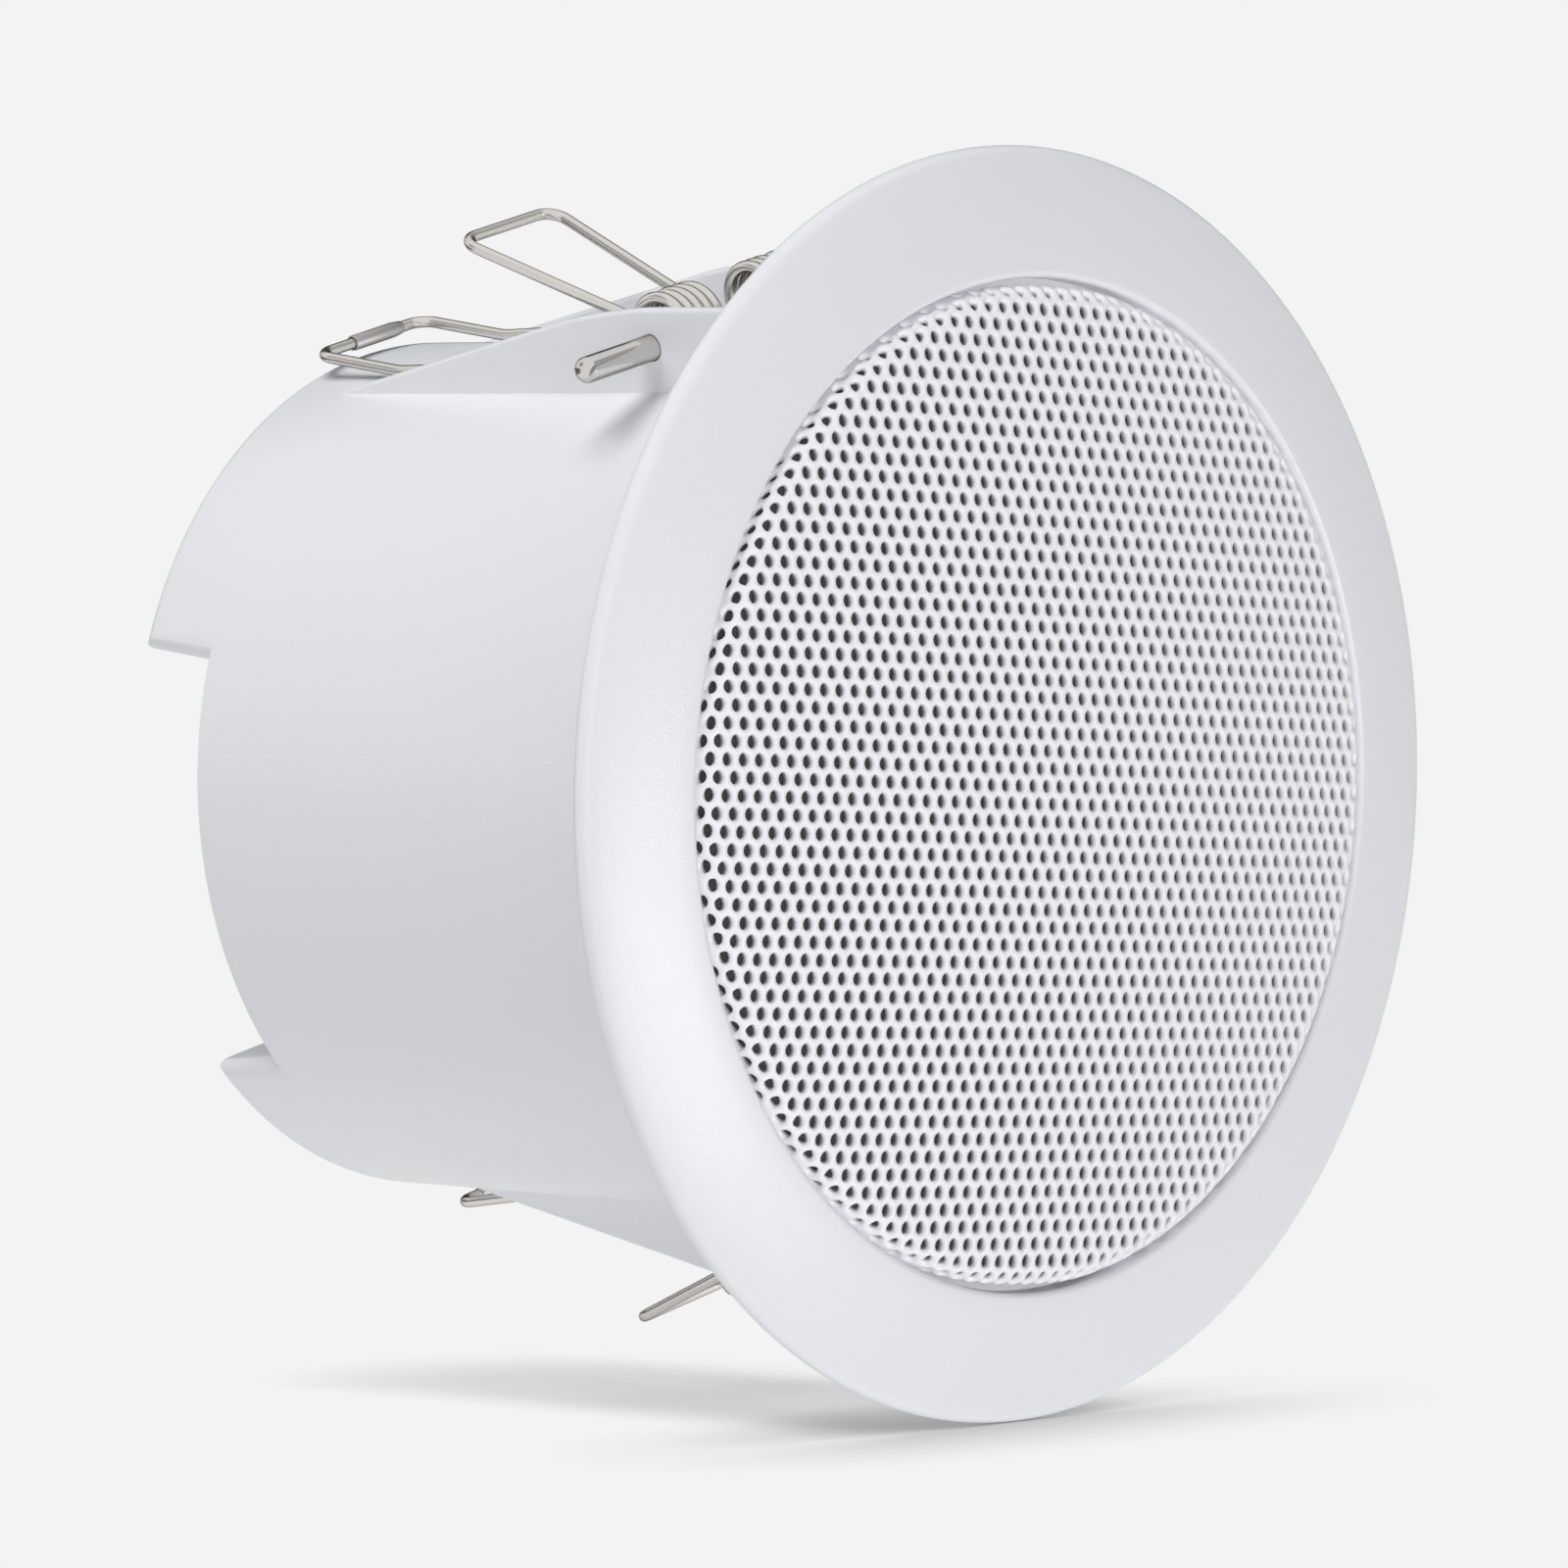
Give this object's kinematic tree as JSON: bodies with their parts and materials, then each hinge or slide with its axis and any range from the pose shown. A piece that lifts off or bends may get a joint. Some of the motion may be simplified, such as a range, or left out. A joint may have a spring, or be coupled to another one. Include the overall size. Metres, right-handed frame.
{
  "type": "in_ceiling_speaker",
  "caption": "White in-ceiling loudspeaker with a flared round bezel, a domed perforated grille, a closed moulded housing and sprung wire clips that grip the ceiling panel.",
  "frame": {"origin": "On the speaker's axis, in the plane where the back of the bezel seats on the ceiling.", "axes": "+Y points into the ceiling, away from the grille, which faces -Y. +Z points to the upper spring clip. +X is to the right seen from the front, along the clip pins."},
  "size_m": [0.189, 0.1322, 0.189],
  "materials": {
    "moulded_white": "fine spark texture",
    "powder_coat_white": "satin powder coat",
    "acoustic_cloth": "open weave",
    "black_steel": "satin black",
    "foam": "matt",
    "zinc_steel": "zinc plated",
    "rubber_black": "matt",
    "paper_black": "matt pressed paper",
    "copper_winding": "enamelled wire",
    "spider_cloth": "impregnated cloth",
    "ferrite": "ground ferrite",
    "phenolic": "laminated board",
    "tinned_brass": "tinned",
    "lead_sheath": "smooth",
    "terminal_grey": "moulded",
    "bright_wire": "nickel plated",
    "bright_rod": "polished",
    "dull_sleeve": "dull"
  },
  "bodies": {
    "housing": {"housing": "moulded_white", "grille": "powder_coat_white", "grille_cloth": "acoustic_cloth", "driver_basket": "black_steel", "driver_gasket": "foam", "driver_screws": "zinc_steel", "surround": "rubber_black", "spider": "spider_cloth", "top_plate": "zinc_steel", "magnet": "ferrite", "yoke": "zinc_steel", "tag_board": "phenolic", "solder_tags": "tinned_brass", "driver_leads": "lead_sheath", "terminal_block": "terminal_grey", "terminal_screws": "zinc_steel", "terminal_fixings": "zinc_steel", "pin_top": "bright_rod", "pin_bottom": "bright_rod", "sleeve_top": "dull_sleeve", "sleeve_bottom": "dull_sleeve"},
    "cone": {"cone": "paper_black", "dust_cap": "paper_black", "voice_coil": "copper_winding"},
    "clip_top": {"spring_top": "bright_wire"},
    "clip_bottom": {"spring_bottom": "bright_wire"}
  },
  "joints": [
    {"name": "clip_top", "type": "hinge", "parent": "housing", "child": "clip_top", "pos_m": [0, 0.0415, 0.07226], "axis": [1, 0, 0], "range_deg": [-20, 80], "stiffness_Nm_per_rad": 0.4, "deforming": ["spring_top"]},
    {"name": "clip_bottom", "type": "hinge", "parent": "housing", "child": "clip_bottom", "pos_m": [0, 0.0415, -0.07226], "axis": [-1, 0, 0], "range_deg": [-20, 80], "stiffness_Nm_per_rad": 0.4, "deforming": ["spring_bottom"]},
    {"name": "cone_travel", "type": "slide", "parent": "housing", "child": "cone", "axis": [0, 1, 0], "range_m": [-0.002, 0.002], "stiffness_N_per_m": 1500, "deforming": ["surround", "spider"]}
  ]
}
